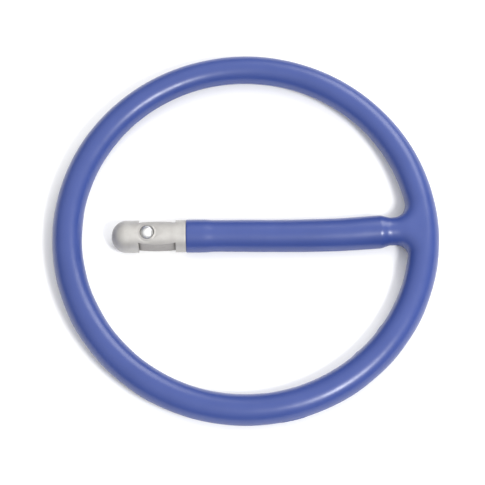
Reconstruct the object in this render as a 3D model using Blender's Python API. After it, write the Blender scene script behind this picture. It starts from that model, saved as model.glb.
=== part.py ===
"""Retaining ring with a captive locking pin, for a large impact socket.

An elastomer ring, its bendable neck and the sleeve round the pin are one moulding on the real
object. A steel pin with a sprung detent ball is moulded into the sleeve. Lengths are in metres.
Origin: the ring's centre on its mid-plane. +X runs from the pin's tip to the stem's root, and +Z
along the ring's axis, on the side where the detent ball looks out.
"""

import math

import bmesh
import bpy
from mathutils import Matrix, Vector

MM = 0.001

# Ring
RING_OUTER_DIAMETER = 76.2 * MM
RING_TUBE_RADIUS = 2.79 * MM
RING_RADIUS = RING_OUTER_DIAMETER / 2 - RING_TUBE_RADIUS
RING_STEPS = 84
TUBE_STEPS = 20

# Root pad, where the stem grows out of the ring
ROOT_FACE_X = 32.10 * MM
ROOT_FILLET_RADIUS = 2.4 * MM
ROOT_HALF_THICKNESS = 2.62 * MM
ROOT_STEPS = 5

# Neck, which bends about a line through NECK_HINGE_X
NECK_HINGE_X = 29.20 * MM
NECK_RADIUS = 2.60 * MM
NECK_START_X = 27.80 * MM

# Sleeve
SLEEVE_START_X = -11.50 * MM
SLEEVE_END_X = 27.50 * MM
SLEEVE_LIP_RADIUS = 3.26 * MM
SLEEVE_LIP_LENGTH = 3.4 * MM
SLEEVE_WAIST_RADIUS = 3.16 * MM
SLEEVE_ROOT_RADIUS = 3.29 * MM

# Pin
PIN_RADIUS = 6.35 * MM / 2
NOSE_END_X = -26.50 * MM
NOSE_DOME_LENGTH = 2.9 * MM
WAIST_START_X = -21.10 * MM
WAIST_END_X = -13.80 * MM
COLLAR_END_X = -11.80 * MM
FLAT_SHOULDER_Y = 2.05 * MM
FLAT_MIDDLE_Y = 2.42 * MM
SHANK_RADIUS = 2.10 * MM
SHANK_END_X = 25.80 * MM
GROOVE_RADIUS = 1.50 * MM
GROOVE_LENGTH = 1.60 * MM
GROOVE_MIDDLES_X = (-4.0 * MM, 12.0 * MM)
PIN_STEPS = 40

# Detent
BALL_RADIUS = 3.175 * MM / 2
BALL_X = -19.40 * MM
BALL_Z = 2.00 * MM
POCKET_RADIUS = 1.75 * MM
POCKET_FLOOR_Z = -2.30 * MM
LIP_RADIUS = 1.42 * MM
LIP_START_Z = 2.35 * MM
LIP_END_Z = 2.85 * MM
SPRING_COIL_RADIUS = 1.25 * MM
SPRING_WIRE_RADIUS = 0.16 * MM
SPRING_TURNS = 4.5
SPRING_TURN_STEPS = 16

GAP = 0.3 * MM
FINE_GAP = 0.08 * MM


def clear_scene():
    for thing in list(bpy.data.objects):
        bpy.data.objects.remove(thing, do_unlink=True)


def make_material(name, colour, roughness, metallic=0.0):
    material = bpy.data.materials.new(name)
    material.use_nodes = True
    shader = material.node_tree.nodes["Principled BSDF"]
    shader.inputs["Base Color"].default_value = (*colour, 1.0)
    shader.inputs["Roughness"].default_value = roughness
    shader.inputs["Metallic"].default_value = metallic
    material.diffuse_color = (*colour, 1.0)
    return material


def add_object(name, mesh, material=None, location=(0.0, 0.0, 0.0)):
    thing = bpy.data.objects.new(name, mesh)
    bpy.context.scene.collection.objects.link(thing)
    thing.location = location
    if material:
        mesh.materials.append(material)
        mesh.shade_smooth()
        mesh.set_sharp_from_angle(angle=math.radians(30))
    return thing


def mesh_from(name, builder):
    """A mesh that builder fills, with its faces turned outwards."""
    shape = bmesh.new()
    builder(shape)
    bmesh.ops.recalc_face_normals(shape, faces=shape.faces)
    mesh = bpy.data.meshes.new(name)
    shape.to_mesh(mesh)
    shape.free()
    return mesh


def bridge_sections(shape, sections, closed=False):
    """Joins rings of points into a skin. Open ends get a flat cap, and one-point ends a fan."""
    rings = [[shape.verts.new(point) for point in section] for section in sections]
    pairs = list(zip(rings, rings[1:]))
    if closed:
        pairs.append((rings[-1], rings[0]))
    for first, second in pairs:
        count = max(len(first), len(second))
        for step in range(count):
            after = (step + 1) % count
            corners = [first[step % len(first)], first[after % len(first)]]
            corners += [second[after % len(second)], second[step % len(second)]]
            shape.faces.new(list(dict.fromkeys(corners)))
    if not closed:
        for ring in (rings[0], rings[-1]):
            if len(ring) > 2:
                shape.faces.new(ring)


def turned_sections(profile, steps):
    """Rings round the X axis for (x, radius) pairs; a radius of 0 is a single point."""
    sections = []
    for x, radius in profile:
        if radius == 0.0:
            sections.append([Vector((x, 0.0, 0.0))])
            continue
        turns = [2 * math.pi * step / steps for step in range(steps)]
        sections.append([Vector((x, radius * math.cos(a), radius * math.sin(a))) for a in turns])
    return sections


def arc(centre_x, length, radius, start, end, steps):
    """(x, radius) pairs on an ellipse quarter, from angle start to angle end in degrees."""
    angles = [math.radians(start + (end - start) * step / steps) for step in range(steps + 1)]
    return [(centre_x + length * math.cos(a), max(radius * math.sin(a), 0.0)) for a in angles]


def add_boolean(thing, cutter, operation):
    change = thing.modifiers.new(operation.title(), "BOOLEAN")
    change.operation = operation
    change.object = cutter
    change.solver = "EXACT"


def hide_cutter(thing):
    thing.hide_render = True
    thing.display_type = "WIRE"


def root_half_width(x):
    """Half the root's width at x: a fillet from the neck's side into the ring's inner circle."""
    inner_radius = RING_RADIUS - RING_TUBE_RADIUS
    centre_y = NECK_RADIUS + ROOT_FILLET_RADIUS
    centre_x = math.sqrt((inner_radius - ROOT_FILLET_RADIUS) ** 2 - centre_y**2)
    reach = min(x - centre_x, 0.99 * ROOT_FILLET_RADIUS)
    return centre_y - math.sqrt(ROOT_FILLET_RADIUS**2 - reach**2)


def ring_shape(shape):
    sections = []
    for step in range(RING_STEPS):
        turn = Matrix.Rotation(2 * math.pi * step / RING_STEPS, 3, "Z")
        angles = [2 * math.pi * side / TUBE_STEPS for side in range(TUBE_STEPS)]
        outline = [(RING_RADIUS + RING_TUBE_RADIUS * math.cos(a), RING_TUBE_RADIUS * math.sin(a))
                   for a in angles]
        sections.append([turn @ Vector((x, 0.0, z)) for x, z in outline])
    bridge_sections(shape, sections, closed=True)


def root_shape(shape):
    """Oval sections from the flat face at the bend to the middle of the ring's tube."""
    sections = []
    for step in range(ROOT_STEPS + 1):
        x = ROOT_FACE_X + (RING_RADIUS - ROOT_FACE_X) * step / ROOT_STEPS
        half_width = root_half_width(x)
        angles = [2 * math.pi * side / PIN_STEPS for side in range(PIN_STEPS)]
        sections.append([Vector((x, half_width * math.cos(a), ROOT_HALF_THICKNESS * math.sin(a)))
                         for a in angles])
    bridge_sections(shape, sections)


def build_ring(material):
    ring = add_object("retaining_ring", mesh_from("retaining_ring", ring_shape), material)
    root = add_object("root_guide", mesh_from("root_guide", root_shape))
    hide_cutter(root)
    add_boolean(ring, root, "UNION")
    return ring


def build_neck(material, hinge):
    """Ends in a ball round the bend line, so that it turns clear of the root's flat face."""
    start = NECK_START_X - NECK_HINGE_X
    profile = [(start, NECK_RADIUS)] + arc(0.0, NECK_RADIUS, NECK_RADIUS, 90, 0, 8)
    sections = turned_sections(profile[:-1] + [(NECK_RADIUS, 0.0)], PIN_STEPS - 8)
    mesh = mesh_from("flex_neck", lambda shape: bridge_sections(shape, sections))
    neck = add_object("flex_neck", mesh, material)
    neck.parent = hinge
    return neck


def sleeve_profile():
    """Outer (x, radius) pairs: a thicker lip, a slim waist and a slow swell to a rounded end."""
    lip_end = SLEEVE_START_X + SLEEVE_LIP_LENGTH
    swell_start = lip_end + 1.2 * MM
    edge = 0.25 * MM
    swell_end = SLEEVE_END_X - 0.9 * MM
    profile = [(SLEEVE_START_X, SLEEVE_LIP_RADIUS - edge), (SLEEVE_START_X + edge, SLEEVE_LIP_RADIUS)]
    profile += [(lip_end, SLEEVE_LIP_RADIUS), (swell_start, SLEEVE_WAIST_RADIUS)]
    profile += [(swell_end - 4 * MM, SLEEVE_ROOT_RADIUS), (swell_end, SLEEVE_ROOT_RADIUS)]
    profile += [(SLEEVE_END_X - 0.3 * MM, SLEEVE_ROOT_RADIUS - 0.15 * MM)]
    profile += [(SLEEVE_END_X, SLEEVE_ROOT_RADIUS - 0.45 * MM)]
    return profile


def shank_profile(clearance):
    """(x, radius) pairs of the hidden shank with its grooves, grown by clearance all round."""
    radius, groove = SHANK_RADIUS + clearance, GROOVE_RADIUS + clearance
    profile = [(COLLAR_END_X, radius)]
    for middle in GROOVE_MIDDLES_X:
        half = GROOVE_LENGTH / 2 - clearance
        profile += [(middle - half, radius), (middle - half, groove)]
        profile += [(middle + half, groove), (middle + half, radius)]
    profile += [(SHANK_END_X + clearance, radius)]
    return profile


def build_sleeve(material, hinge):
    """A tube closed at the neck end, whose bore follows the shank with a gap."""
    bore = shank_profile(GAP)
    bore[0] = (SLEEVE_START_X, bore[0][1])
    outline = bore[::-1] + sleeve_profile()
    outline = [(bore[-1][0], 0.0)] + outline + [(SLEEVE_END_X, 0.0)]
    local = [(x - NECK_HINGE_X, radius) for x, radius in outline]
    sections = turned_sections(local, PIN_STEPS)
    mesh = mesh_from("pin_sleeve", lambda shape: bridge_sections(shape, sections))
    sleeve = add_object("pin_sleeve", mesh, material)
    sleeve.parent = hinge
    return sleeve


def waist_cutter_shape(side):
    """A block whose inner face bows outwards, so that the waist is thickest at its middle."""
    def fill(shape):
        length = WAIST_END_X - WAIST_START_X
        shares = (0.0, 0.2, 0.35, 0.65, 0.8, 1.0)
        rises = (0.0, 0.75, 1.0, 1.0, 0.75, 0.0)
        bow = FLAT_MIDDLE_Y - FLAT_SHOULDER_Y
        outline = [(WAIST_START_X + length * share, FLAT_SHOULDER_Y + bow * rise)
                   for share, rise in zip(shares, rises)]
        outline += [(WAIST_END_X, 2 * PIN_RADIUS), (WAIST_START_X, 2 * PIN_RADIUS)]
        levels = (-2 * PIN_RADIUS, 2 * PIN_RADIUS)
        bridge_sections(shape, [[Vector((x, side * y, z)) for x, y in outline] for z in levels])
    return fill


def pocket_shape(shape):
    """The ball's pocket, turned round a vertical line, with a staked lip at its mouth."""
    profile = [(POCKET_FLOOR_Z, POCKET_RADIUS), (LIP_START_Z, POCKET_RADIUS)]
    profile += [(LIP_END_Z, LIP_RADIUS), (2 * PIN_RADIUS, LIP_RADIUS)]
    sections = []
    for z, radius in profile:
        turns = [2 * math.pi * step / 32 for step in range(32)]
        sections.append([Vector((BALL_X + radius * math.cos(a), radius * math.sin(a), z))
                         for a in turns])
    bridge_sections(shape, sections)


def build_pin(material, hinge):
    dome_end = NOSE_END_X + NOSE_DOME_LENGTH
    outline = arc(dome_end, NOSE_DOME_LENGTH, PIN_RADIUS, 180, 90, 8)
    outline[0] = (NOSE_END_X, 0.0)
    outline += [(COLLAR_END_X, PIN_RADIUS)] + shank_profile(0.0) + [(SHANK_END_X, 0.0)]
    sections = turned_sections(outline, PIN_STEPS)
    mesh = mesh_from("core_pin", lambda shape: bridge_sections(shape, sections))
    mesh.transform(Matrix.Translation((-NECK_HINGE_X, 0.0, 0.0)))
    pin = add_object("core_pin", mesh, material)
    pin.parent = hinge
    cutters = [mesh_from(f"flat_cutter_{side}", waist_cutter_shape(side)) for side in (-1, 1)]
    cutters.append(mesh_from("pocket_cutter", pocket_shape))
    for cutter_mesh in cutters:
        cutter = add_object(cutter_mesh.name, cutter_mesh)
        hide_cutter(cutter)
        add_boolean(pin, cutter, "DIFFERENCE")
    return pin


def build_ball(material, hinge):
    shape = bmesh.new()
    bmesh.ops.create_uvsphere(shape, u_segments=28, v_segments=18, radius=BALL_RADIUS)
    mesh = bpy.data.meshes.new("detent_ball")
    shape.to_mesh(mesh)
    shape.free()
    ball = add_object("detent_ball", mesh, material, (BALL_X - NECK_HINGE_X, 0.0, BALL_Z))
    ball.parent = hinge
    return ball


def build_spring(material, hinge):
    """A round-wire compression spring between the pocket's floor and the underside of the ball."""
    touch = math.sqrt(BALL_RADIUS**2 - SPRING_COIL_RADIUS**2)
    top = BALL_Z - touch - 2 * SPRING_WIRE_RADIUS - FINE_GAP
    bottom = POCKET_FLOOR_Z + SPRING_WIRE_RADIUS + FINE_GAP
    curve = bpy.data.curves.new("detent_spring", "CURVE")
    curve.dimensions = "3D"
    curve.bevel_depth = SPRING_WIRE_RADIUS
    curve.bevel_resolution = 1
    curve.use_fill_caps = True
    count = int(SPRING_TURNS * SPRING_TURN_STEPS) + 1
    wire = curve.splines.new("POLY")
    wire.points.add(count - 1)
    for step, point in enumerate(wire.points):
        angle = 2 * math.pi * step / SPRING_TURN_STEPS
        height = bottom + (top - bottom) * step / (count - 1)
        x, y = SPRING_COIL_RADIUS * math.cos(angle), SPRING_COIL_RADIUS * math.sin(angle)
        point.co = (x, y, height, 1.0)
    curve.materials.append(material)
    spring = bpy.data.objects.new("detent_spring", curve)
    bpy.context.scene.collection.objects.link(spring)
    spring.location = (BALL_X - NECK_HINGE_X, 0.0, 0.0)
    spring.parent = hinge
    return spring


def main():
    clear_scene()
    elastomer = make_material("blue_elastomer", (0.098, 0.136, 0.43), 0.42)
    pin_metal = make_material("pin_metal", (0.60, 0.58, 0.57), 0.38, 0.6)
    ball_steel = make_material("ball_steel", (0.82, 0.82, 0.84), 0.12, 1.0)
    spring_steel = make_material("spring_steel", (0.35, 0.35, 0.36), 0.35, 1.0)

    hinge = bpy.data.objects.new("neck_hinge", None)
    bpy.context.scene.collection.objects.link(hinge)
    hinge.location = (NECK_HINGE_X, 0.0, 0.0)

    build_ring(elastomer)
    build_neck(elastomer, hinge)
    build_sleeve(elastomer, hinge)
    build_pin(pin_metal, hinge)
    build_ball(ball_steel, hinge)
    build_spring(spring_steel, hinge)


main()
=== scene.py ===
"""Looks of a socket retaining ring with a captive locking pin.

The ring, the neck that bends and the sleeve are one blue elastomer moulding. A satin steel pin
with a sprung detent ball sits in the sleeve. Shapes are worked out in millimetres, in the frame's
own axes: +X from the pin's tip to the stem's root, and +Z out of the ring on the ball's side.
"""

import logging
import math
from dataclasses import dataclass, field
from enum import Enum

import bmesh
import bpy
import numpy as np
from mathutils import Matrix, Vector


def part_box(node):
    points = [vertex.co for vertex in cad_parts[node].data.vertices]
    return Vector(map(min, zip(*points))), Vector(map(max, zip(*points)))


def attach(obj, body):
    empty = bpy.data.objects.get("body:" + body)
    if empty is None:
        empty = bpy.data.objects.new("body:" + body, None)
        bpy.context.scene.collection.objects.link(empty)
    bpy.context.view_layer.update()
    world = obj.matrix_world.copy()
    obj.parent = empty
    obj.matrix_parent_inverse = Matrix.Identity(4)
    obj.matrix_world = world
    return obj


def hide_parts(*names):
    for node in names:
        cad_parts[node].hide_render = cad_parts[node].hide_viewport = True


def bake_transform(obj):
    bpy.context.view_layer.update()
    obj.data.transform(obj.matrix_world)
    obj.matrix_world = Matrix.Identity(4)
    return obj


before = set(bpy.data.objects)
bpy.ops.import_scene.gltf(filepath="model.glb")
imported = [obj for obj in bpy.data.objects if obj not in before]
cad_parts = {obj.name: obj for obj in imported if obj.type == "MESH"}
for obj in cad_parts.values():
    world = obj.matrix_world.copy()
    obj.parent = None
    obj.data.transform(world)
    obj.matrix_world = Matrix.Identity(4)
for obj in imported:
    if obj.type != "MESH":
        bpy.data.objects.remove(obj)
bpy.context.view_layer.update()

MM = 0.001
# In millimetres: how far the moulding's bore stays off the steel, and the solids' bond gap.
SEAM = 0.02
BOND_GAP = 0.3
LOG = logging.getLogger("retaining_ring")
Rows = np.ndarray
Values = np.ndarray | float
Place = tuple[float, float]
Tone = tuple[float, float, float] | bpy.types.NodeSocket


class Body(Enum):
    """The bodies that move on their own."""

    RING = "ring"
    PIN = "pin"
    BALL = "ball"


class Slot(Enum):
    """Names of the finishes."""

    ELASTOMER = "blue_elastomer"
    PIN = "pin_metal"
    BALL = "ball_steel"
    SPRING = "spring_steel"


def node_box(node: str) -> tuple[np.ndarray, np.ndarray]:
    """The lowest and highest corners of a fixed solid, in millimetres.

    Args:
        node: The solid's name.

    Returns:
        The two corners.
    """
    low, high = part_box(node)
    return np.array(low) / MM, np.array(high) / MM


def smooth(share: Values) -> Values:
    """An eased step.

    Args:
        share: Where along the step, which starts at 0 and ends at 1.

    Returns:
        Values from 0 to 1.
    """
    share = np.clip(share, 0.0, 1.0)
    return share * share * (3.0 - 2.0 * share)


def bell(distance: Values, width: float) -> Values:
    """A hump of height 1 that fades over about two widths."""
    return np.exp(-((distance / width) ** 2))


@dataclass
class Skin:
    """Points and faces of one piece, in millimetres, before they become a mesh."""

    rings: list[Rows] = field(default_factory=list)
    faces: list[tuple[int, ...]] = field(default_factory=list)
    count: int = 0

    def add(self, ring: Rows) -> np.ndarray:
        """Adds points.

        Args:
            ring: One point a row.

        Returns:
            The points' numbers in the mesh.
        """
        self.rings.append(np.asarray(ring, float).reshape(-1, 3))
        numbers = np.arange(self.count, self.count + len(self.rings[-1]))
        self.count += len(numbers)
        return numbers

    def join(self, first: np.ndarray, second: np.ndarray, closed: bool = True) -> None:
        """Fills the strip between two rows of points with four-sided faces.

        Args:
            first: One row's numbers.
            second: The other row's numbers, in the same order.
            closed: Whether the rows run all the way round.
        """
        last = len(first) if closed else len(first) - 1
        for step in range(last):
            after = (step + 1) % len(first)
            self.faces.append((first[step], first[after], second[after], second[step]))

    def stack(self, rings: list[Rows]) -> list[np.ndarray]:
        """Adds closed rings and joins each to the next.

        Args:
            rings: The rings' points, all of one length.

        Returns:
            Each ring's numbers.
        """
        numbers = [self.add(ring) for ring in rings]
        for first, second in zip(numbers, numbers[1:]):
            self.join(first, second)
        return numbers

    def close(self, ring: np.ndarray, middle: Rows) -> None:
        """Fills a ring with a fan.

        Args:
            ring: The ring's numbers.
            middle: The fan's middle point.
        """
        hub = self.add(middle)[0]
        for step, number in enumerate(ring):
            self.faces.append((number, ring[(step + 1) % len(ring)], hub))

    def points(self) -> Rows:
        """All points, one a row."""
        return np.vstack(self.rings)

    def build(self, name: str, sharp_degrees: float = 35.0) -> bpy.types.Object:
        """Makes the object, with doubled points merged and faces turned outwards.

        Args:
            name: The object's name.
            sharp_degrees: Edges that turn more than this stay crisp.

        Returns:
            The new object, in metres.
        """
        shape = bmesh.new()
        made = [shape.verts.new(Vector(point) * MM) for point in self.points()]
        for face in self.faces:
            shape.faces.new([made[number] for number in face])
        bmesh.ops.remove_doubles(shape, verts=shape.verts, dist=0.002 * MM)
        loose = [point for point in shape.verts if not point.link_faces]
        bmesh.ops.delete(shape, geom=loose, context="VERTS")
        bmesh.ops.recalc_face_normals(shape, faces=shape.faces)
        mesh = bpy.data.meshes.new(name)
        shape.to_mesh(mesh)
        shape.free()
        mesh.shade_smooth()
        mesh.set_sharp_from_angle(angle=math.radians(sharp_degrees))
        piece = bpy.data.objects.new(name, mesh)
        bpy.context.scene.collection.objects.link(piece)
        return piece


class Shader:
    """A Principled material and the few nodes that give it its surface."""

    def __init__(self, name: str) -> None:
        """Starts a plain material.

        Args:
            name: The material's name.
        """
        self.material = bpy.data.materials.new(name)
        self.material.use_nodes = True
        self.nodes = self.material.node_tree.nodes
        self.links = self.material.node_tree.links
        self.principled = self.nodes["Principled BSDF"]
        self.place = self.nodes.new("ShaderNodeTexCoord").outputs["Object"]

    def set(self, **values: float | tuple[float, ...]) -> None:
        """Sets uniform values on the shader's own sockets, named with _ for spaces."""
        for name, value in values.items():
            self.principled.inputs[name.replace("_", " ")].default_value = value

    def noise(self, per_mm: float, detail: float = 3.0, stretch: tuple[float, ...] = (1, 1, 1)
              ) -> bpy.types.NodeSocket:
        """Cloudy values over the surface.

        Args:
            per_mm: How many lumps fit in a millimetre.
            detail: How many finer layers are added.
            stretch: Scale along each axis.

        Returns:
            A socket with values near 0.5.
        """
        mapping = self.nodes.new("ShaderNodeMapping")
        mapping.inputs["Scale"].default_value = [per_mm / MM * s for s in stretch]
        self.links.new(self.place, mapping.inputs["Vector"])
        cloud = self.nodes.new("ShaderNodeTexNoise")
        cloud.inputs["Scale"].default_value = 1.0
        cloud.inputs["Detail"].default_value = detail
        self.links.new(mapping.outputs["Vector"], cloud.inputs["Vector"])
        return cloud.outputs["Fac"]

    def spread(self, value: bpy.types.NodeSocket, low: float, high: float,
               band: tuple[float, float] = (0.3, 0.7)) -> bpy.types.NodeSocket:
        """Maps a band of values to a range.

        Args:
            value: What to map.
            low: The result at the band's lower end.
            high: The result at its upper end.
            band: The band of values.

        Returns:
            The mapped socket.
        """
        node = self.nodes.new("ShaderNodeMapRange")
        node.inputs["From Min"].default_value, node.inputs["From Max"].default_value = band
        node.inputs["To Min"].default_value = low
        node.inputs["To Max"].default_value = high
        self.links.new(value, node.inputs["Value"])
        return node.outputs["Result"]

    def math(self, operation: str, first: bpy.types.NodeSocket,
             second: bpy.types.NodeSocket | float = 0.0) -> bpy.types.NodeSocket:
        """One sum.

        Args:
            operation: What to do, in the Math node's own word.
            first: A value.
            second: Another value, or a number.

        Returns:
            The result.
        """
        node = self.nodes.new("ShaderNodeMath")
        node.operation = operation
        self.links.new(first, node.inputs[0])
        if isinstance(second, float):
            node.inputs[1].default_value = second
        else:
            self.links.new(second, node.inputs[1])
        return node.outputs["Value"]

    def axis(self, vector: bpy.types.NodeSocket, letter: str) -> bpy.types.NodeSocket:
        """One part of a vector.

        Args:
            vector: The vector's socket.
            letter: The part's axis, such as "X".

        Returns:
            The part's socket.
        """
        parts = self.nodes.new("ShaderNodeSeparateXYZ")
        self.links.new(vector, parts.inputs["Vector"])
        return parts.outputs[letter]

    def distance_along_x(self, x: float) -> bpy.types.NodeSocket:
        """How far each point lies from a place along X, which is given in millimetres."""
        return self.math("ABSOLUTE", self.math("SUBTRACT", self.axis(self.place, "X"), x * MM))

    def facing_y(self) -> bpy.types.NodeSocket:
        """How squarely the surface faces along Y, from 0 to 1."""
        return self.math("ABSOLUTE", self.axis(self.place.node.outputs["Normal"], "Y"))

    def times(self, first: bpy.types.NodeSocket, second: bpy.types.NodeSocket
              ) -> bpy.types.NodeSocket:
        """Two values multiplied."""
        return self.math("MULTIPLY", first, second)

    def mix(self, value: bpy.types.NodeSocket, first: Tone, second: Tone) -> bpy.types.NodeSocket:
        """A colour between two tones.

        Args:
            value: The share of the second tone.
            first: Linear red, green and blue, or a socket.
            second: The other tone.

        Returns:
            The mixed colour.
        """
        node = self.nodes.new("ShaderNodeMix")
        node.data_type = "RGBA"
        for tone, socket in ((first, node.inputs["A"]), (second, node.inputs["B"])):
            if isinstance(tone, tuple):
                socket.default_value = (*tone, 1.0)
            else:
                self.links.new(tone, socket)
        self.links.new(value, node.inputs["Factor"])
        return node.outputs["Result"]

    def colours(self, value: bpy.types.NodeSocket, first: Tone, second: Tone) -> None:
        """Base colour between two tones, by the share of the second."""
        self.links.new(self.mix(value, first, second), self.principled.inputs["Base Color"])

    def roughness(self, value: bpy.types.NodeSocket) -> None:
        """Roughness from a socket."""
        self.links.new(value, self.principled.inputs["Roughness"])

    def bump(self, layers: list[tuple[bpy.types.NodeSocket, float]]) -> None:
        """Fine relief.

        Args:
            layers: Each relief's value and its height in millimetres.
        """
        previous = None
        for value, height in layers:
            node = self.nodes.new("ShaderNodeBump")
            node.inputs["Strength"].default_value = 1.0
            node.inputs["Distance"].default_value = height * MM
            self.links.new(value, node.inputs["Height"])
            if previous:
                self.links.new(previous, node.inputs["Normal"])
            previous = node.outputs["Normal"]
        self.links.new(previous, self.principled.inputs["Normal"])


@dataclass(frozen=True)
class MouldedElastomer:
    """Blue-violet urethane as it leaves the mould: even, satin, with a very fine skin."""

    tone: tuple[float, float, float] = (0.034, 0.062, 0.244)
    deep_tone: tuple[float, float, float] = (0.028, 0.054, 0.224)
    smoothest: float = 0.29
    roughest: float = 0.37

    def material(self) -> bpy.types.Material:
        """The finish as a material.

        Returns:
            The material.
        """
        shader = Shader("moulded_elastomer")
        shader.set(Metallic=0.0, IOR=1.50, Specular_IOR_Level=0.6)
        shader.colours(shader.spread(shader.noise(0.12), 0.0, 1.0), self.tone, self.deep_tone)
        shader.roughness(shader.spread(shader.noise(0.35, 4.0), self.smoothest, self.roughest))
        shader.bump([(shader.noise(0.22, 2.0), 0.05), (shader.noise(5.0, 2.0), 0.0015)])
        return shader.material


@dataclass(frozen=True)
class TumbledMetal:
    """Pale grey pin metal, tumbled to a satin, with flats darker than the round, partly a duller milled
    finish and partly painted shade, and painted shade near black in their corners.
    """

    tone: tuple[float, float, float] = (0.47, 0.46, 0.44)
    dull_tone: tuple[float, float, float] = (0.40, 0.385, 0.37)
    # The flats' tone: a duller milled finish, darkened further as painted shade.
    milled_and_shaded_tone: tuple[float, float, float] = (0.30, 0.285, 0.275)
    # Painted shade: near black in the flats' corners beside the shoulders.
    corner_painted_shade: tuple[float, float, float] = (0.06, 0.055, 0.05)
    smoothest: float = 0.42
    roughest: float = 0.56

    def material(self, waist: tuple[float, float]) -> bpy.types.Material:
        """The finish as a material.

        Args:
            waist: Where the milled flats start and end along X, in millimetres.

        Returns:
            The material.
        """
        shader = Shader("tumbled_pin_metal")
        shader.set(Metallic=0.35, IOR=1.5)
        tumbled = shader.mix(shader.spread(shader.noise(0.5, 4.0), 0.0, 1.0), self.tone, self.dull_tone)
        middle, half = sum(waist) / 2, (waist[1] - waist[0]) / 2
        away = shader.distance_along_x(middle)
        inside = shader.spread(away, 1.0, 0.0, (half * MM, (half + 0.05) * MM))
        sideways = shader.spread(shader.facing_y(), 0.0, 1.0, (0.80, 0.97))
        # Painted shade mask: rises over the last 0.6 mm of each flat towards its shoulder.
        corner = shader.spread(away, 0.0, 1.0, ((half - 0.60) * MM, half * MM))
        # The flats' colour: the milled tone with painted shade, near black in the corners.
        milled = shader.mix(corner, self.milled_and_shaded_tone, self.corner_painted_shade)
        # Base colour: tumbled metal, and inside the waist, where the surface faces along Y, the flats'
        # milled tone with painted shade.
        shader.colours(shader.times(inside, sideways), tumbled, milled)
        shader.roughness(shader.spread(shader.noise(1.3, 3.0), self.smoothest, self.roughest))
        marks = shader.noise(5.0, 2.0, (0.15, 1.0, 1.0))
        shader.bump([(shader.noise(2.2, 4.0), 0.012), (marks, 0.005)])
        return shader.material


@dataclass(frozen=True)
class PolishedSteel:
    """Bearing-ball steel with hair-fine lapping marks."""

    tone: tuple[float, float, float] = (0.93, 0.93, 0.92)
    shade: tuple[float, float, float] = (0.86, 0.86, 0.86)
    smoothest: float = 0.32
    roughest: float = 0.42

    def material(self) -> bpy.types.Material:
        """The finish as a material.

        Returns:
            The material.
        """
        shader = Shader("polished_ball_steel")
        shader.set(Metallic=1.0)
        shader.colours(shader.spread(shader.noise(1.0), 0.0, 1.0), self.tone, self.shade)
        shader.roughness(shader.spread(shader.noise(9.0), self.smoothest, self.roughest))
        shader.bump([(shader.noise(14.0, 2.0), 0.0008)])
        return shader.material


@dataclass(frozen=True)
class DrawnWire:
    """Spring wire with a thin oil-dark skin and draw lines."""

    tone: tuple[float, float, float] = (0.36, 0.355, 0.35)
    dark_tone: tuple[float, float, float] = (0.20, 0.20, 0.21)
    smoothest: float = 0.25
    roughest: float = 0.45

    def material(self) -> bpy.types.Material:
        """The finish as a material.

        Returns:
            The material.
        """
        shader = Shader("drawn_spring_wire")
        shader.set(Metallic=1.0)
        shader.colours(shader.spread(shader.noise(3.0), 0.0, 1.0), self.tone, self.dark_tone)
        shader.roughness(shader.spread(shader.noise(6.0), self.smoothest, self.roughest))
        shader.bump([(shader.noise(12.0, 2.0), 0.002)])
        return shader.material


@dataclass
class Shank:
    """The pin's hidden shank and its grooves, which the sleeve's bore follows."""

    start: float
    end: float
    radius: float = 2.10
    groove_radius: float = 1.50
    groove_length: float = 1.60
    groove_middles: tuple[float, ...] = (-4.0, 12.0)

    def profile(self, clearance: float) -> list[tuple[float, float]]:
        """The shank's outline.

        Args:
            clearance: How far outside the steel the outline runs.

        Returns:
            Places along X and radii, with the grooves as square steps.
        """
        radius, groove = self.radius + clearance, self.groove_radius + clearance
        outline = [(self.start, radius)]
        for middle in self.groove_middles:
            half = self.groove_length / 2 - clearance
            outline += [(middle - half, radius), (middle - half, groove)]
            outline += [(middle + half, groove), (middle + half, radius)]
        return outline + [(self.end + clearance, radius)]


def turned_ring(x: float, radii: np.ndarray | float, angles: np.ndarray) -> Rows:
    """A ring of points round the X axis.

    Args:
        x: The ring's place.
        radii: The radius, or one for each angle.
        angles: Angles from +Y towards +Z, in radians.

    Returns:
        The points.
    """
    radii = np.broadcast_to(radii, angles.shape)
    return np.column_stack([np.full(len(angles), x), radii * np.cos(angles), radii * np.sin(angles)])


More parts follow.
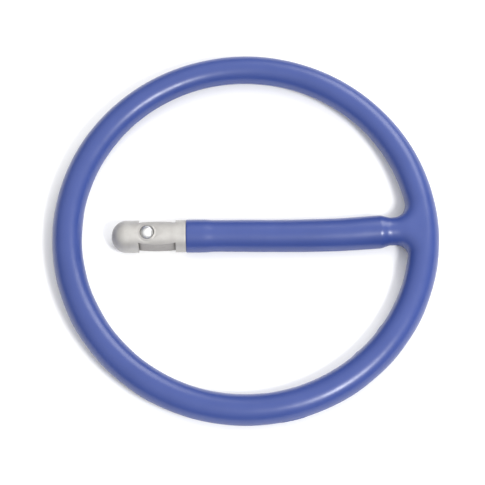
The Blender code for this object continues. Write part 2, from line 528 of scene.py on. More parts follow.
@dataclass
class ElastomerMoulding:
    """The one blue moulding: ring, flared root, neck and sleeve.

    It is made as two meshes that meet on the ring a little way past the root; only the ring's mesh is
    tied to a body.
    """

    shank: Shank
    ring_radius: float
    tube_radius: float
    sleeve_start: float
    sleeve_end: float

    # The stem's outline, from its lip to its neck.
    stem_lead: float = 1.0
    lip_radius: float = 3.265
    lip_length: float = 3.5
    lip_taper: float = 2.0
    slim_radius: float = 3.16
    swell_radius: float = 3.29
    swell_lead: float = 4.0
    shoulder_lead: float = 0.95
    shoulder_length: float = 2.2
    neck_radius: float = 2.78
    edge: float = 0.25
    wave_height: float = 0.012
    wave_rate: float = 0.55
    wave_phase: float = 1.0

    # The stem's bow, and its lean at the neck.
    bow: float = 0.20
    bow_middle: float = 9.5
    bow_length: float = 11.0
    lean: float = 0.47
    lean_start: float = 17.0
    lean_length: float = 13.0

    # The root's fillets, and how far round the stem its sides reach.
    fillet: float = 3.1
    low_fillet: float = 2.5
    flare_lead: float = 0.5
    side_degrees: float = 52.0

    # The parting line, the gate's scar and nicks of flash, each an angle and a width.
    ridge_height: float = 0.05
    ridge_width: float = 0.11
    ridge_unevenness: float = 0.35
    ridge_ripples: float = 23.0
    gate_degrees: float = -77.0
    gate_height: float = 0.08
    gate_half_degrees: float = 4.5
    gate_fade_degrees: float = 1.5
    nick_height: float = 0.16
    nicks: tuple[Place, ...] = ((-36.8, 1.1), (-48.8, 1.4))

    # The tube's fuller side, and its waves, each a height, a count and a phase.
    full_degrees: float = -85.0
    full_growth: float = 0.13
    waves: tuple[tuple[float, float, float], ...] = ((0.016, 5.0, 1.0), (0.010, 12.0, 2.0))

    # How the meshes are divided, and where the neck's bend starts and ends.
    root_steps: int = 9
    step_degrees: float = 1.25
    quarter_steps: int = 14
    crowding: float = 1.6
    long_strip: float = 0.45
    short_strip: float = 0.16
    short_lead: float = 1.5
    level_share: float = 0.2
    bend_margin: float = 0.10
    bend_past_shank: float = 0.2
    finish: MouldedElastomer = MouldedElastomer()

    def __post_init__(self) -> None:
        """Works out the angles that the meshes share, and makes their one material."""
        self.material = self.finish.material()
        shares = (np.arange(self.quarter_steps + 1) / self.quarter_steps) ** self.crowding
        quarter = 0.5 * math.pi * shares
        half = np.concatenate([quarter, math.pi - quarter[-2::-1]])
        self.tube_angles = np.concatenate([half, half[1:-1] + math.pi])
        step = math.radians(self.step_degrees)
        self.hole_angle = self.root_steps * step
        self.joint_angle = (self.root_steps + 1) * step

    def stem_radius(self, x: Values) -> Values:
        """The stem's radius along X: lip, slim part, slow swell, shoulder and neck.

        Args:
            x: Places along the stem.

        Returns:
            The radius at each place.
        """
        lip_end = self.sleeve_start + self.lip_length
        after_lip = smooth((x - lip_end) / self.lip_taper)
        swell_length = self.sleeve_end - self.swell_lead - lip_end
        swell = smooth((x - lip_end - self.lip_taper) / swell_length)
        shoulder = smooth((x - self.sleeve_end + self.shoulder_lead) / self.shoulder_length)
        radius = self.lip_radius + (self.slim_radius - self.lip_radius) * after_lip
        radius = radius + (self.swell_radius - self.slim_radius) * swell
        radius = radius + (self.neck_radius - self.swell_radius) * shoulder
        wave = self.wave_height * np.sin(self.wave_rate * x + self.wave_phase)
        return radius + wave * (1.0 - shoulder)

    def drift(self, x: Values) -> Values:
        """How far the stem has set to one side: it bows a little, then leans at the neck.

        Args:
            x: Places along the stem.

        Returns:
            The way along Y at each place.
        """
        leaning = self.lean * smooth((x - self.lean_start) / self.lean_length)
        return leaning - self.bow * bell(x - self.bow_middle, self.bow_length)

    def ridge(self, x: np.ndarray, y: np.ndarray) -> np.ndarray:
        """Height of the parting line, with the gate's scar and the nicks of flash.

        Args:
            x: Places along X.
            y: Places along Y.

        Returns:
            The height at each place.
        """
        turn, radius = np.arctan2(y, x), np.hypot(x, y)
        angle = np.degrees(turn)
        uneven = 1.0 + self.ridge_unevenness * np.sin(turn * self.ridge_ripples)
        gate_reach = self.gate_half_degrees - np.abs(angle - self.gate_degrees)
        gate = self.gate_height * smooth(gate_reach / self.gate_fade_degrees)
        flash = self.nick_height * sum(bell(angle - middle, width) for middle, width in self.nicks)
        on_inside = radius > self.ring_radius / 2
        extra = np.where(radius > self.ring_radius, gate, flash * on_inside)
        return self.ridge_height * uneven + extra

    def surface(self, points: Rows) -> np.ndarray:
        """How far points lie outside the moulding's skin, near enough for fitting points to it.

        The plan outline is the ring's and the stem's with a round fillet between them. The edge
        is a half round of the local tube's radius, so the web over the root has a level top.

        Args:
            points: Points to test.

        Returns:
            A signed value for each, 0 on the skin.
        """
        x, y, z = points.T
        across = np.hypot(x, y) - self.ring_radius
        ring_out = np.abs(across) - self.tube_radius
        stem = self.stem_radius(x)
        near_stem = (across < 0.0) & (x > self.sleeve_start - self.stem_lead)
        side = y - self.drift(x)
        fillet = np.where(side > 0.0, self.fillet, self.low_fillet)
        far_off = 10.0 * fillet
        stem_out = np.where(near_stem, np.abs(side) - stem, far_off)
        corner = np.hypot(np.maximum(fillet - ring_out, 0), np.maximum(fillet - stem_out, 0))
        outline = np.maximum(fillet, np.minimum(ring_out, stem_out)) - corner
        share = smooth(ring_out / fillet) * near_stem
        local = self.tube_radius * (1.0 - share) + stem * share
        turn = np.arctan2(y, x)
        wave = sum(height * np.sin(count * turn + phase) for height, count, phase in self.waves)
        wave = wave + self.full_growth * (1.0 + np.cos(turn - math.radians(self.full_degrees)))
        grown = (1.0 - share) * wave + self.ridge(x, y) * bell(z, self.ridge_width)
        return np.hypot(np.maximum(outline + local, 0.0), z) - local - grown

    def normals(self, points: Rows, step: float = 1e-4) -> Rows:
        """The skin's outward slope.

        Args:
            points: Points near the skin.
            step: How far to either side the slope is measured.

        Returns:
            A slope for each point.
        """
        slopes = [self.surface(points + step * axis) - self.surface(points - step * axis)
                  for axis in np.eye(3)]
        return np.column_stack(slopes) / (2.0 * step)

    def settle(self, points: Rows, rounds: int = 6, longest: float = 0.4, flattest: float = 0.05
               ) -> Rows:
        """Moves points onto the skin.

        Args:
            points: Points near it.
            rounds: How many times each is moved.
            longest: The longest single move.
            flattest: The least square of a slope that is trusted.

        Returns:
            The moved points.
        """
        for _ in range(rounds):
            slope = self.normals(points)
            size = np.maximum((slope**2).sum(1), flattest)
            step = slope * (self.surface(points) / size)[:, None]
            length = np.linalg.norm(step, axis=1)
            points = points - step * np.minimum(1.0, longest / np.maximum(length, 1e-9))[:, None]
        return points

    def tube_ring(self, turn: float) -> Rows:
        """The tube's section, settled on the skin.

        Args:
            turn: The angle round the ring, in radians.

        Returns:
            The section's points.
        """
        across = self.ring_radius + self.tube_radius * np.cos(self.tube_angles)
        height = self.tube_radius * np.sin(self.tube_angles)
        ring = np.column_stack([across * math.cos(turn), across * math.sin(turn), height])
        return self.settle(ring, 3)

    def build_ring(self) -> bpy.types.Object:
        """The ring from one side of the root round to the other.

        Returns:
            The ring's mesh.
        """
        skin = Skin()
        count = round(2 * (math.pi - self.joint_angle) / math.radians(self.step_degrees))
        turns = np.linspace(self.joint_angle, 2 * math.pi - self.joint_angle, count + 1)
        numbers = skin.stack([self.tube_ring(turn) for turn in turns])
        for turn, ring in ((turns[0], numbers[0]), (turns[-1], numbers[-1])):
            skin.close(ring, [self.ring_radius * math.cos(turn), self.ring_radius * math.sin(turn), 0])
        return self.finished(skin.build("ring_moulding"), (Body.RING,), ("retaining_ring",))

    def hole_rows(self) -> tuple[list[Place], np.ndarray]:
        """The opening in the ring's inner side where the stem grows out, and the stem's angles.

        Returns:
            The opening's points in order round the stem, each as an angle round the ring and one
            round its tube, and for each the angle from +Y towards +Z at which it meets the stem.
        """
        quarter = self.quarter_steps
        inner = self.tube_angles[quarter:3 * quarter + 1]
        side_reach = math.radians(self.side_degrees)
        side = side_reach * (1.0 - (inner - 0.5 * math.pi) / (0.5 * math.pi))
        turns = np.linspace(self.hole_angle, -self.hole_angle, 2 * self.root_steps + 1)
        flat = np.linspace(-side_reach, side_reach - math.pi, 2 * self.root_steps + 1)
        places = [(self.hole_angle, beta) for beta in inner[:-1]]
        places += [(turn, 1.5 * math.pi) for turn in turns[:-1]]
        places += [(-self.hole_angle, beta) for beta in inner[:0:-1]]
        places += [(turn, 0.5 * math.pi) for turn in turns[:0:-1]]
        angles = np.concatenate([side[:-1], flat[:-1], side[:-1] - math.pi, flat[:-1] - math.pi])
        return places, angles

    def stem_rings(self, angles: np.ndarray) -> list[Rows]:
        """The stem's outside from the sleeve's grey end to where the root begins to flare.

        Args:
            angles: The points' angles round the stem.

        Returns:
            One ring for each place along X.
        """
        arc = np.radians(np.linspace(0.0, 90.0, 6))
        start = self.sleeve_start
        end_radius = float(self.stem_radius(start + self.edge)) - self.edge
        rings = [self.stem_ring(start + self.edge * (1 - math.cos(a)),
                                end_radius + self.edge * math.sin(a), angles) for a in arc]
        shoulder = self.sleeve_end - self.short_lead
        places = np.concatenate([np.arange(start + 2 * self.edge, shoulder, self.long_strip),
                                 np.arange(shoulder, self.flare_start(), self.short_strip)])
        for x in places:
            radius = float(self.stem_radius(x))
            rings.append(self.settle(self.stem_ring(x, radius, angles), 2))
        return rings

    def stem_ring(self, x: float, radius: float, angles: np.ndarray) -> Rows:
        """A ring of points round the stem's own middle line, which drifts from the X axis.

        Args:
            x: The ring's place.
            radius: Its radius.
            angles: Angles from +Y towards +Z, in radians.

        Returns:
            The points.
        """
        return turned_ring(x, radius, angles) + np.array([0.0, float(self.drift(x)), 0.0])

    def flare_start(self) -> float:
        """Where along X the root's fillet leaves the neck.

        Returns:
            The place, in millimetres.
        """
        centre_y = self.neck_radius + self.fillet + float(self.drift(self.sleeve_end))
        reach = self.ring_radius - self.tube_radius - self.fillet
        return math.sqrt(reach**2 - centre_y**2) - self.flare_lead

    def root_rings(self, neck: Rows, hole: Rows, steps: int = 16, rounds: int = 24) -> list[Rows]:
        """Rings between the neck and the opening in the ring, eased along the skin.

        Points near the parting line keep their heights, or its ridge would draw them together.

        Args:
            neck: The neck's last ring.
            hole: The opening's points, in the same order.
            steps: How many strips to make.
            rounds: How many times the rings are eased.

        Returns:
            The rings in between.
        """
        shares = np.linspace(0.0, 1.0, steps + 1)[:, None, None]
        rows = neck[None] * (1.0 - shares) + hole[None] * shares
        heights = rows[..., 2].copy()
        level = np.abs(heights) < self.level_share * self.tube_radius
        count = len(neck)
        for _ in range(rounds):
            inner = self.settle(rows[1:-1].reshape(-1, 3), 3).reshape(-1, count, 3)
            rows[1:-1] = inner
            rows[1:-1] = 0.5 * rows[1:-1] + 0.25 * (rows[:-2] + rows[2:])
            rows[..., 2] = np.where(level, heights, rows[..., 2])
        rows[1:-1] = self.settle(rows[1:-1].reshape(-1, 3)).reshape(-1, count, 3)
        return list(rows[1:-1])

    def build_stem(self) -> bpy.types.Object:
        """The sleeve with its bore, the neck, the root and the short arc of ring behind it.

        Returns:
            The stem's mesh.
        """
        skin = Skin()
        turns = np.arange(-self.root_steps - 1, self.root_steps + 2) * math.radians(self.step_degrees)
        tube = [skin.add(self.tube_ring(turn)) for turn in turns]
        around = len(self.tube_angles)
        quarter = self.quarter_steps
        for place, (first, second) in enumerate(zip(tube, tube[1:])):
            at_end = place in (0, len(tube) - 2)
            outer = np.arange(-quarter, quarter + 1) % around
            row = np.arange(around) if at_end else outer
            skin.join(first[row], second[row], closed=at_end)
        for turn, ring in ((turns[0], tube[0]), (turns[-1], tube[-1])):
            skin.close(ring, [self.ring_radius * math.cos(turn), self.ring_radius * math.sin(turn), 0])

        places, angles = self.hole_rows()
        hole = np.array([self.hole_number(tube, turn, beta) for turn, beta in places])
        bore = [turned_ring(x, radius, angles) for x, radius in self.shank.profile(SEAM)]
        bore[0][:, 0] = self.sleeve_start
        rings = self.stem_rings(angles)
        numbers = skin.stack(bore[::-1] + rings)
        skin.close(numbers[0], [bore[-1][0, 0], 0.0, 0.0])
        between = skin.stack(self.root_rings(rings[-1], skin.points()[hole]))
        skin.join(numbers[-1], between[0])
        skin.join(between[-1], hole)
        piece = skin.build("stem_moulding")
        replaced = ("flex_neck", "pin_sleeve")
        return self.finished(piece, (Body.RING, Body.PIN), replaced)

    def hole_number(self, tube: list[np.ndarray], turn: float, beta: float) -> int:
        """Finds a point of the tube.

        Args:
            tube: The numbers of the tube's sections, in order.
            turn: The point's angle round the ring.
            beta: Its angle round the tube.

        Returns:
            The point's number.
        """
        row = round(turn / math.radians(self.step_degrees)) + self.root_steps + 1
        column = int(np.argmin(np.abs(self.tube_angles - beta)))
        return int(tube[row][column])

    def finished(self, piece: bpy.types.Object, bodies: tuple[Body, ...],
                 replaced: tuple[str, ...]) -> bpy.types.Object:
        """Dresses a mesh of the moulding and ties it to its body when it has only one.

        Args:
            piece: The mesh.
            bodies: One body, or the two that the mesh lies between; a mesh with two is tied to neither.
            replaced: The fixed solids that it stands for.

        Returns:
            The piece.
        """
        self.match_normals(piece)
        piece.data.materials.append(self.material)
        if len(bodies) == 1:
            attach(piece, bodies[0].value)
        else:
            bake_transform(piece)
        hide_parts(*replaced)
        return piece

    def match_normals(self, piece: bpy.types.Object, same_angle: float = 1e-4,
                      same_skin: float = 0.05) -> None:
        """Gives both meshes the skin's own slope where they meet, so that no seam shows.

        Args:
            piece: Either mesh of the moulding.
            same_angle: How near the joint's angle a point of the seam lies.
            same_skin: How near the skin it lies.
        """
        mesh = piece.data
        points = np.array([vertex.co for vertex in mesh.vertices]) / MM
        off = np.abs(np.abs(np.arctan2(points[:, 1], points[:, 0])) - self.joint_angle)
        across = np.abs(np.hypot(points[:, 0], points[:, 1]) - self.ring_radius)
        near_ring = across < 1.2 * self.tube_radius
        rim = (off < same_angle) & near_ring & (np.abs(self.surface(points)) < same_skin)
        slopes = self.normals(points)
        slopes /= np.linalg.norm(slopes, axis=1)[:, None]
        wanted = np.array([normal.vector for normal in mesh.corner_normals])
        for polygon in mesh.polygons:
            flat_end = len(polygon.vertices) == 3
            for corner in polygon.loop_indices:
                number = mesh.loops[corner].vertex_index
                if rim[number] and not flat_end:
                    wanted[corner] = slopes[number]
        mesh.normals_split_custom_set(wanted.tolist())


@dataclass
class Detent:
    """The sprung ball in the pin's waist, and the places that its pocket shares with it."""

    ball_x: float
    ball_z: float
    ball_radius: float
    spring_low: float
    spring_high: float
    spring_radius: float
    pocket_radius: float = 1.75
    pocket_floor: float = -2.30
    pocket_corner_width: float = 0.14
    pocket_corner_height: float = 0.12
    pocket_point: float = 0.35
    mouth_radius: float = 1.42
    lip_start: float = 2.35
    lip_end: float = 2.85
    cutter_top: float = 6.0
    seat_degrees: float = 63.0
    seat_width_degrees: float = 3.0
    seat_wear: float = 0.004
    wire_radius: float = 0.16
    turns: float = 4.5
    end_closeness: float = 0.25
    ball_finish: PolishedSteel = PolishedSteel()
    wire_finish: DrawnWire = DrawnWire()

    def pocket(self, steps: int = 72) -> bpy.types.Object:
        """A cutter for the pocket: a drilled well, a cone under the staked lip and its mouth.

        Args:
            steps: How many sides it has.

        Returns:
            The cutter.
        """
        skin = Skin()
        turns = np.linspace(0.0, 2 * math.pi, steps, endpoint=False)
        profile = [(self.pocket_floor, self.pocket_radius - self.pocket_corner_width),
                   (self.pocket_floor + self.pocket_corner_height, self.pocket_radius),
                   (self.lip_start, self.pocket_radius),
                   (self.lip_end, self.mouth_radius),
                   (self.cutter_top, self.mouth_radius)]
        rings = [np.column_stack([self.ball_x + radius * np.cos(turns), radius * np.sin(turns),
                                  np.full(steps, z)]) for z, radius in profile]
        numbers = skin.stack(rings)
        skin.close(numbers[0], [self.ball_x, 0.0, self.pocket_floor - self.pocket_point])
        skin.close(numbers[-1], [self.ball_x, 0.0, self.cutter_top])
        return skin.build("pocket_cutter")

    def build_ball(self, around: int = 72, rows: int = 40) -> bpy.types.Object:
        """The ball, with the faint band that its seat under the lip wears into it.

        Args:
            around: How many points each ring has.
            rows: How many strips run from pole to pole.

        Returns:
            The ball.
        """
        skin = Skin()
        turns = np.linspace(0.0, 2 * math.pi, around, endpoint=False)
        rings = []
        for row in range(1, rows):
            tilt = math.pi * row / rows
            off_seat = math.degrees(tilt) - self.seat_degrees
            radius = self.ball_radius - self.seat_wear * bell(off_seat, self.seat_width_degrees)
            rings.append(np.column_stack([self.ball_x + radius * math.sin(tilt) * np.cos(turns),
                                          radius * math.sin(tilt) * np.sin(turns),
                                          np.full(around, self.ball_z + radius * math.cos(tilt))]))
        numbers = skin.stack(rings)
        for ring, side in ((numbers[0], 1), (numbers[-1], -1)):
            skin.close(ring, [self.ball_x, 0.0, self.ball_z + side * self.ball_radius])
        piece = skin.build("detent_ball_polished", 60.0)
        piece.data.materials.append(self.ball_finish.material())
        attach(piece, Body.BALL.value)
        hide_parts("detent_ball")
        return piece

    def build_spring(self, per_turn: int = 40, around: int = 12) -> bpy.types.Object:
        """The compression spring, closer wound at its ends.

        Args:
            per_turn: How many sections each turn has.
            around: How many points each section has.

        Returns:
            The spring.
        """
        skin = Skin()
        low, high = self.spring_low + self.wire_radius, self.spring_high - self.wire_radius
        coil = self.spring_radius - self.wire_radius
        count = int(self.turns * per_turn)
        angles = np.linspace(0.0, 2 * math.pi, around, endpoint=False)
        rings = []
        for step in range(count + 1):
            turn = 2 * math.pi * step / per_turn
            share = step / count
            eased = share + self.end_closeness * (smooth(share) - share)
            height = low + (high - low) * eased
            outward = np.array([math.cos(turn), math.sin(turn), 0.0])
            middle = np.array([self.ball_x, 0.0, height]) + coil * outward
            section = np.cos(angles)[:, None] * outward + np.sin(angles)[:, None] * np.array([0, 0, 1.0])
            rings.append(middle + self.wire_radius * section)
        numbers = skin.stack(rings)
        skin.close(numbers[0], rings[0].mean(0))
        skin.close(numbers[-1], rings[-1].mean(0))
        piece = skin.build("detent_spring_coil")
        piece.data.materials.append(self.wire_finish.material())
        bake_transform(piece)
        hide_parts("detent_spring")
        return piece


@dataclass(frozen=True)
class StakeMark:
    """What the staking punch leaves on the pin: a lip and a groove round the ball's mouth, and a
    wedge beside them. Widths and depths are in millimetres."""

    top_start: float = 0.8
    lip_offset: float = 0.10
    lip_width: float = 0.10
    lip_height: float = 0.03
    groove_offset: float = 0.40
    groove_width: float = 0.16
    groove_depth: float = 0.035
    wedge_start: float = 1.2
    wedge_tip: float = 3.4
    wedge_length: float = 2.0
    wedge_half_width: float = 1.3
    wedge_fade: float = 0.25
    wedge_depth: float = 0.10

    def rise(self, points: Rows, mouth_radius: float) -> np.ndarray:
        """How far the mark lifts the pin's skin.

        Args:
            points: Places on the skin, measured from the ball's place along X.
            mouth_radius: The radius of the ball's mouth.

        Returns:
            A height for each, below 0 where the mark is sunk.
        """
        along, across, height = points.T
        from_mouth = np.hypot(along, across) - mouth_radius
        lip = self.lip_height * bell(from_mouth - self.lip_offset, self.lip_width)
        groove = self.groove_depth * bell(from_mouth - self.groove_offset, self.groove_width)
        reach = (self.wedge_tip - along) / self.wedge_length
        inside = smooth((reach - np.abs(across) / self.wedge_half_width) / self.wedge_fade)
        wedge = self.wedge_depth * inside * (along > self.wedge_start) * np.clip(reach, 0.0, 1.0)
        on_top = smooth((height - self.top_start) / self.top_start)
        return on_top * (lip - groove - wedge)


@dataclass
class LockingPin:
    """The metal pin: domed nose, waist with two bowed flats, collar and hidden shank."""

    shank: Shank
    detent: Detent
    nose_end: float
    radius: float
    dome_length: float = 2.9
    pole_degrees: float = 6.0
    waist_start: float = -21.10
    waist_end: float = -13.80
    shoulder_half_width: float = 2.05
    middle_half_width: float = 2.42
    bow_power: float = 0.75
    edge: float = 0.07
    bevel_degrees: float = 38.0
    sharp_degrees: float = 32.0
    flat_steps: int = 20
    round_steps: int = 48
    waist_strip: float = 0.13
    mark: StakeMark = StakeMark()
    finish: TumbledMetal = TumbledMetal()

    def flat_half_width(self, x: float) -> float:
        """Half the waist's width, which bows out at its middle.

        Args:
            x: A place along the waist.

        Returns:
            The half width there.
        """
        share = (x - self.waist_start) / (self.waist_end - self.waist_start)
        rise = math.sin(math.pi * min(max(share, 0.0), 1.0)) ** self.bow_power
        return self.shoulder_half_width + (self.middle_half_width - self.shoulder_half_width) * rise

    def angles(self, half_width: float) -> np.ndarray:
        """Angles round the pin, with points where the flats meet the round.

        Args:
            half_width: How far the flats lie from the pin's middle.

        Returns:
            The angles, in radians.
        """
        edge = math.acos(half_width / self.radius)
        flat = np.linspace(-edge, edge, self.flat_steps, endpoint=False)
        top = np.linspace(edge, math.pi - edge, self.round_steps, endpoint=False)
        return np.concatenate([flat, top, flat + math.pi, top + math.pi])

    def waist_ring(self, x: float) -> Rows:
        """A section of the waist.

        Args:
            x: The section's place.

        Returns:
            Its points.
        """
        half_width = self.flat_half_width(x)
        angles = self.angles(half_width)
        reach = half_width / np.maximum(np.abs(np.cos(angles)), 1e-6)
        return turned_ring(x, np.minimum(self.radius, reach), angles)

    def outline(self) -> list[tuple[float, float]]:
        """The round sections from the nose to the waist.

        Returns:
            Each section's place and radius.
        """
        tilt = np.radians(np.linspace(self.pole_degrees, 90.0, 17))
        dome = [(self.nose_end + self.dome_length * (1 - math.cos(a)), self.radius * math.sin(a))
                for a in tilt]
        straight = np.linspace(self.nose_end + self.dome_length, self.waist_start, 10)[1:]
        return dome + [(x, self.radius) for x in straight]

    def stake(self, rings: list[Rows]) -> list[Rows]:
        """Presses the staking punch's mark into the top of the pin.

        Args:
            rings: The pin's rings.

        Returns:
            The rings with the mark.
        """
        marked = []
        for ring in rings:
            from_ball = ring - np.array([self.detent.ball_x, 0.0, 0.0])
            shift = self.mark.rise(from_ball, self.detent.mouth_radius)
            size = np.linalg.norm(ring[:, 1:], axis=1)
            moved = ring.copy()
            moved[:, 1:] *= ((size + shift) / np.maximum(size, 1e-9))[:, None]
            marked.append(moved)
        return marked

    def build(self) -> bpy.types.Object:
        """The whole pin as one closed skin, with its pocket cut.

        Returns:
            The pin.
        """
        skin = Skin()
        plain = self.angles(self.shoulder_half_width)
        rings = [turned_ring(x, radius, plain) for x, radius in self.outline()]
        places = np.arange(self.waist_start, self.waist_end, self.waist_strip)
        rings += [self.waist_ring(x) for x in [*places, self.waist_end]]
        collar = np.linspace(self.waist_end, self.shank.start, 7)
        rings += [turned_ring(x, self.radius, plain) for x in collar]
        rings = self.stake(rings)
        rings += [turned_ring(x, radius, plain) for x, radius in self.shank.profile(0.0)]
        numbers = skin.stack(rings)
        skin.close(numbers[0], [self.nose_end, 0.0, 0.0])
        skin.close(numbers[-1], [self.shank.end, 0.0, 0.0])
        piece = skin.build("locking_pin", self.sharp_degrees)
        self.soften(piece)
        self.cut(piece, self.detent.pocket())
        piece.data.materials.clear()
        piece.data.materials.append(self.finish.material((self.waist_start, self.waist_end)))
        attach(piece, Body.PIN.value)
        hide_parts("core_pin")
        return piece

    def soften(self, piece: bpy.types.Object) -> None:
        """Breaks the crisp edges with a narrow bevel.

        Args:
            piece: The pin.
        """
        bevel = piece.modifiers.new("broken_edges", "BEVEL")
        bevel.width = self.edge * MM
        bevel.segments = 2
        bevel.limit_method = "ANGLE"
        bevel.angle_limit = math.radians(self.bevel_degrees)
        bevel.use_clamp_overlap = True
        bake_modifiers(piece)

    def cut(self, piece: bpy.types.Object, cutter: bpy.types.Object) -> None:
        """Cuts a shape out of the pin.

        Args:
            piece: The pin.
            cutter: The shape, which is removed afterwards.
        """
        change = piece.modifiers.new("pocket", "BOOLEAN")
        change.operation = "DIFFERENCE"
        change.object = cutter
        bake_modifiers(piece)
        bpy.data.objects.remove(cutter)
        mend(piece.data)
        piece.data.shade_smooth()
        piece.data.set_sharp_from_angle(angle=math.radians(self.sharp_degrees))


def bake_modifiers(piece: bpy.types.Object) -> None:
    """Replaces a piece's mesh with the one that its modifiers make.

    Args:
        piece: The piece, which is left with no modifiers.
    """
    view = bpy.context.evaluated_depsgraph_get()
    old = piece.data
    made = bpy.data.meshes.new_from_object(piece.evaluated_get(view))
    piece.modifiers.clear()
    piece.data = made
    bpy.data.meshes.remove(old)


def mend(mesh: bpy.types.Mesh, reach: float = 0.0005) -> None:
    """Merges points that a bevel or a cut leaves on top of each other, and splits large faces.

    Args:
        mesh: The mesh to mend.
        reach: How far apart such points may lie, in millimetres.
    """
    shape = bmesh.new()
    shape.from_mesh(mesh)
    bmesh.ops.remove_doubles(shape, verts=shape.verts, dist=reach * MM)
    bmesh.ops.dissolve_degenerate(shape, edges=shape.edges, dist=reach * MM)
    bmesh.ops.triangulate(shape, faces=[face for face in shape.faces if len(face.verts) > 4],
                          ngon_method="BEAUTY")
    shape.to_mesh(mesh)
    shape.free()


@dataclass(frozen=True)
class Softbox:
    """A square lamp aimed at the ring's centre, with its place and side in metres."""

    name: str
    place: tuple[float, float, float]
    side: float
    watts: float


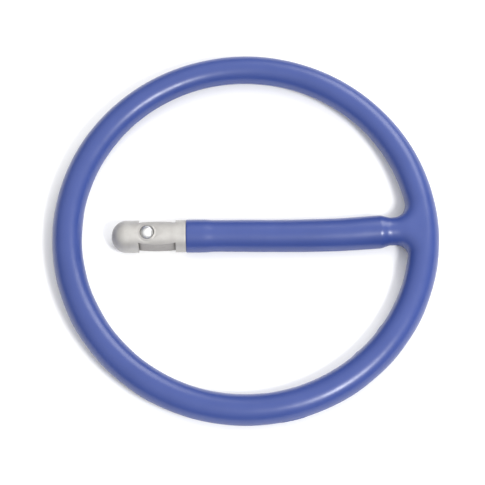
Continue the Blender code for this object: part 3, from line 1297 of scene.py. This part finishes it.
@dataclass
class Studio:
    """A plain white ground, soft light from overhead and the right, and the camera."""

    floor_height: float
    ring_radius: float
    elevation: float = 72.05
    azimuth: float = -0.88
    distance_radii: float = 11.0
    yaw: float = -0.00155
    pitch: float = -0.0036
    roll: float = 0.0026
    lens: float = 145.68
    ground_tone: float = 0.93
    ground_half: float = 2.0
    horizon_light: float = 0.12
    overhead_light: float = 1.22
    lamps: tuple[Softbox, ...] = (Softbox("front_softbox", (0.257, -0.242, 0.485), 0.13, 2.3),
                                  Softbox("back_softbox", (0.281, 0.422, 0.356), 0.36, 1.9))

    def build(self) -> None:
        """Makes the floor, the lights and the camera."""
        self.add_floor()
        self.add_world()
        for lamp in self.lamps:
            self.add_light(lamp)
        self.add_camera()
        bpy.context.scene.view_settings.view_transform = "Standard"

    def add_floor(self) -> None:
        """A large white ground just under the moulding."""
        half, tone = self.ground_half, self.ground_tone
        shape = bmesh.new()
        corners = ((-half, -half), (half, -half), (half, half), (-half, half))
        shape.faces.new([shape.verts.new((x, y, self.floor_height * MM)) for x, y in corners])
        mesh = bpy.data.meshes.new("floor")
        shape.to_mesh(mesh)
        shape.free()
        floor = bpy.data.objects.new("floor", mesh)
        bpy.context.scene.collection.objects.link(floor)
        paper = Shader("white_paper")
        paper.set(Roughness=0.9, Specular_IOR_Level=0.1, Base_Color=(tone, tone, tone, 1.0))
        mesh.materials.append(paper.material)

    def add_world(self) -> None:
        """White light from all round, brightest overhead."""
        world = bpy.data.worlds.new("white_room")
        world.use_nodes = True
        nodes, links = world.node_tree.nodes, world.node_tree.links
        background = nodes["Background"]
        background.inputs["Color"].default_value = (1.0, 1.0, 1.0, 1.0)
        direction = nodes.new("ShaderNodeTexCoord").outputs["Generated"]
        parts = nodes.new("ShaderNodeSeparateXYZ")
        links.new(direction, parts.inputs["Vector"])
        rise = nodes.new("ShaderNodeMapRange")
        rise.interpolation_type = "SMOOTHSTEP"
        rise.inputs["To Min"].default_value = self.horizon_light
        rise.inputs["To Max"].default_value = self.overhead_light
        links.new(parts.outputs["Z"], rise.inputs["Value"])
        links.new(rise.outputs["Result"], background.inputs["Strength"])
        bpy.context.scene.world = world

    def add_light(self, lamp: Softbox) -> None:
        """Sets up one softbox.

        Args:
            lamp: The softbox.
        """
        light = bpy.data.lights.new(lamp.name, "AREA")
        light.size = lamp.side
        light.energy = lamp.watts
        holder = bpy.data.objects.new(lamp.name, light)
        bpy.context.scene.collection.objects.link(holder)
        holder.location = lamp.place
        holder.rotation_mode = "QUATERNION"
        holder.rotation_quaternion = (-Vector(lamp.place)).to_track_quat("-Z", "Y")

    def add_camera(self) -> None:
        """A long lens above the near edge, aimed almost at the ring's centre."""
        up_angle, side = math.radians(self.elevation), math.radians(self.azimuth)
        back = Vector((math.sin(side) * math.cos(up_angle), -math.cos(side) * math.cos(up_angle),
                       math.sin(up_angle)))
        right = Vector((math.cos(side), math.sin(side), 0.0))
        up = back.cross(right)
        forward = -back + math.tan(self.yaw) * right + math.tan(self.pitch) * up
        forward.normalize()
        level = forward.cross(up).normalized()
        tilted = level * math.cos(self.roll) + level.cross(forward) * math.sin(self.roll)
        camera = bpy.data.objects.new("camera", bpy.data.cameras.new("camera"))
        bpy.context.scene.collection.objects.link(camera)
        camera.location = back * (self.distance_radii * self.ring_radius * MM)
        basis = np.column_stack([tilted, tilted.cross(forward), -forward])
        camera.rotation_mode = "QUATERNION"
        camera.rotation_quaternion = Matrix(basis.tolist()).to_quaternion()
        camera.data.lens = self.lens
        camera.data.clip_start = 0.01
        camera.data.clip_end = 20.0
        bpy.context.scene.camera = camera


def report(piece: bpy.types.Object) -> None:
    """Writes one line about a finished piece to the log.

    Args:
        piece: The piece.
    """
    LOG.info("%s: %d faces", piece.name, len(piece.data.polygons))


def main() -> None:
    """Builds every piece in order, then the studio."""
    logging.basicConfig(level=logging.INFO, format="%(name)s %(message)s")
    ring_high = node_box("retaining_ring")[1]
    pin_low, pin_high = node_box("core_pin")
    sleeve_low, sleeve_high = node_box("pin_sleeve")
    ball_low, ball_high = node_box("detent_ball")
    spring_low, spring_high = node_box("detent_spring")
    tube_radius = float(ring_high[2])
    ring_radius = float(ring_high[0]) - tube_radius
    ball = (ball_low + ball_high) / 2

    shank = Shank(start=float(sleeve_low[0]) - BOND_GAP, end=float(pin_high[0]))
    moulding = ElastomerMoulding(
        shank=shank, ring_radius=ring_radius, tube_radius=tube_radius,
        sleeve_start=shank.start + SEAM, sleeve_end=float(sleeve_high[0]))
    detent = Detent(
        ball_x=float(ball[0]), ball_z=float(ball[2]), ball_radius=float(ball_high[0] - ball[0]),
        spring_low=float(spring_low[2]), spring_high=float(spring_high[2]),
        spring_radius=float(spring_high[0] - ball[0]))
    pin = LockingPin(shank=shank, detent=detent, nose_end=float(pin_low[0]), radius=float(pin_high[2]))

    for piece in (moulding.build_ring(), moulding.build_stem(), pin.build(), detent.build_ball(),
                  detent.build_spring()):
        report(piece)
    Studio(floor_height=-moulding.swell_radius - 0.01, ring_radius=ring_radius).build()


if __name__ == "__main__":
    main()
